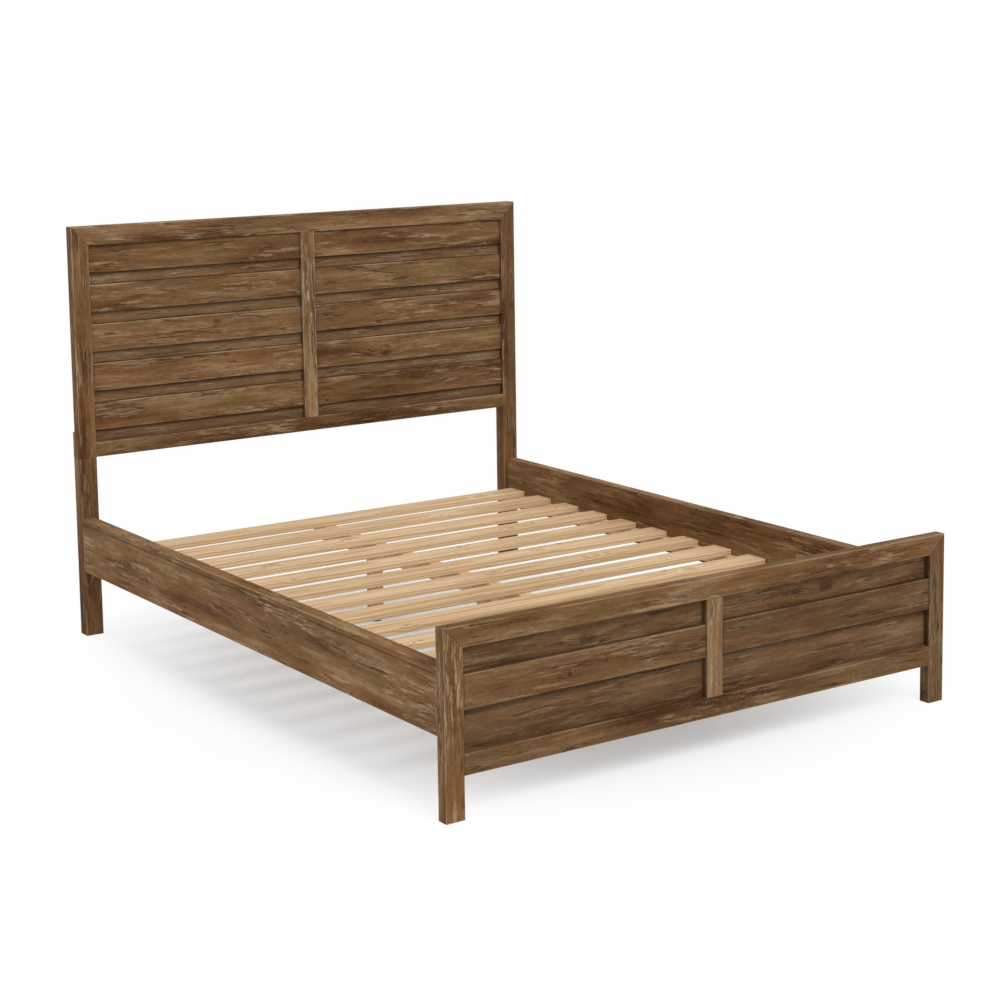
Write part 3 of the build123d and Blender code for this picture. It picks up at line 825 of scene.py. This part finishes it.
# Slat screws: a countersunk screw at each end of a slat, and one in the middle of every second slat.
# Zinc-plated steel with cross recesses, each left at its own turn.
slat_screw_length = 0.040
slat_screw_places = []
for number, slat_y in zip(slat_numbers, slat_ys):
    slat_top = slat_boxes[number - 1][1].z
    screw_xs = []
    for side in ("left", "right"):
        cleat_low, cleat_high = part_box(f"{side}_slat_cleat")
        screw_xs.append((cleat_low.x + cleat_high.x) / 2)
    if number % 2 == 0:
        screw_xs.append(0.0)
    for screw_x in screw_xs:
        place = Matrix.Translation((screw_x, slat_y, slat_top))
        slat_screw_places.append(place @ turn_of(screw_turns))
slat_screws = copies(countersunk_screw(slat_screw_length), slat_screw_places)
finished_piece("crosshead_slat_screws", slat_screws, zinc_steel, "bed", "zinc_steel", "slat_screws")

# Studio: a white floor under soft, even light that comes a little more from the upper left, and a
# camera at the height of a standing viewer off the left corner of the foot.
floor_size = 60.0
floor_pale = (0.92, 0.92, 0.92, 1.0)
floor_cool = (0.865, 0.92, 0.97, 1.0)
studio_white = (1.0, 1.0, 1.0, 1.0)
shadow_reach = 0.60
white_from = 1.65
white_in_shadow = 0.14


def seen_rays(tree):
    """One for rays from the camera, a reflection or through glass, and nought for the rest."""
    rays = add_node(tree, "LightPath", {}).outputs
    seen = figure(tree, "ADD", rays["Is Camera Ray"], rays["Is Glossy Ray"])
    return figure(tree, "ADD", seen, rays["Is Transmission Ray"])


floor_mesh = bpy.data.meshes.new("studio_floor")
floor_form = bmesh.new()
bmesh.ops.create_grid(floor_form, x_segments=1, y_segments=1, size=floor_size)
floor_form.to_mesh(floor_mesh)
floor_form.free()
floor = bpy.data.objects.new("studio_floor", floor_mesh)
bpy.context.scene.collection.objects.link(floor)
floor_paint, floor_tree, floor_shader = new_finish("studio_floor")
floor_shader.inputs["Roughness"].default_value = 0.9
floor_shader.inputs["Specular IOR Level"].default_value = 0.0
floor_seen = seen_rays(floor_tree)
floor_colour = tint(floor_tree, floor_seen, floor_pale, floor_cool)
floor_tree.links.new(floor_colour, floor_shader.inputs["Base Color"])
# The floor glows white to the camera as painted light: faintly in an oval round the bed, where its
# shadow shows, and fully from white_from outward
floor_oval = vector(floor_tree, "MULTIPLY", own_point(floor_tree), (1.25, 1.0, 1.0))
floor_radius = measure(floor_tree, "LENGTH", floor_oval)
floor_white = between(floor_tree, floor_radius, shadow_reach, white_from, white_in_shadow, 1.0)
floor_glow = add_node(floor_tree, "Emission", {"Color": studio_white, "Strength": 1.0})
floor_share = figure(floor_tree, "MULTIPLY", floor_seen, floor_white)
floor_mix = add_node(
    floor_tree,
    "MixShader",
    {0: floor_share, 1: floor_shader.outputs[0], 2: floor_glow.outputs[0]},
)
floor_tree.links.new(floor_mix.outputs[0], floor_tree.nodes["Material Output"].inputs["Surface"])
floor_mesh.materials.append(floor_paint)

ambient = 0.36
world = bpy.data.worlds.new("studio")
bpy.context.scene.world = world
world.use_nodes = True
sky_tree = world.node_tree
sky = sky_tree.nodes["Background"]
sky.inputs["Color"].default_value = studio_white
sky_limits = {"Value": seen_rays(sky_tree), "To Min": ambient, "To Max": 1.0}
sky_strength = add_node(sky_tree, "MapRange", sky_limits)
sky_tree.links.new(sky_strength.outputs[0], sky.inputs["Strength"])

for lamp_name, lamp_power, lamp_spread, lamp_aim in (
    ("key", 1.95, 30, (0.05, 1.0, -1.10)),
    ("left_fill", 0.85, 70, (0.9, 0.25, -1.4)),
    ("right_fill", 0.50, 60, (-1.0, 0.1, -0.50)),
):
    lamp = bpy.data.lights.new(lamp_name, "SUN")
    lamp.energy = lamp_power
    lamp.angle = math.radians(lamp_spread)
    lamp_stand = bpy.data.objects.new(lamp_name, lamp)
    lamp_stand.rotation_euler = Vector(lamp_aim).to_track_quat("-Z", "Y").to_euler()
    bpy.context.scene.collection.objects.link(lamp_stand)

camera_azimuth = math.radians(-35.365)
camera_elevation = math.radians(7.884)
camera_roll = math.radians(-0.585)
camera_distance = 6.3634
camera_aim = Vector((0.2354, -0.0665, 0.9249))
outward = Vector((
    math.sin(camera_azimuth) * math.cos(camera_elevation),
    -math.cos(camera_azimuth) * math.cos(camera_elevation),
    math.sin(camera_elevation),
))
view = bpy.data.cameras.new("camera")
view.sensor_width = 36.0
view.lens = 77.994
view.shift_x = -0.06
view.shift_y = -0.15
view.clip_end = 200.0
camera = bpy.data.objects.new("camera", view)
bpy.context.scene.collection.objects.link(camera)
camera_place = Matrix.Translation(camera_aim + outward * camera_distance)
camera_turn = outward.to_track_quat("Z", "Y").to_matrix().to_4x4()
camera.matrix_world = camera_place @ camera_turn @ Matrix.Rotation(camera_roll, 4, "Z")
bpy.context.scene.camera = camera
bpy.context.scene.view_settings.view_transform = "Standard"
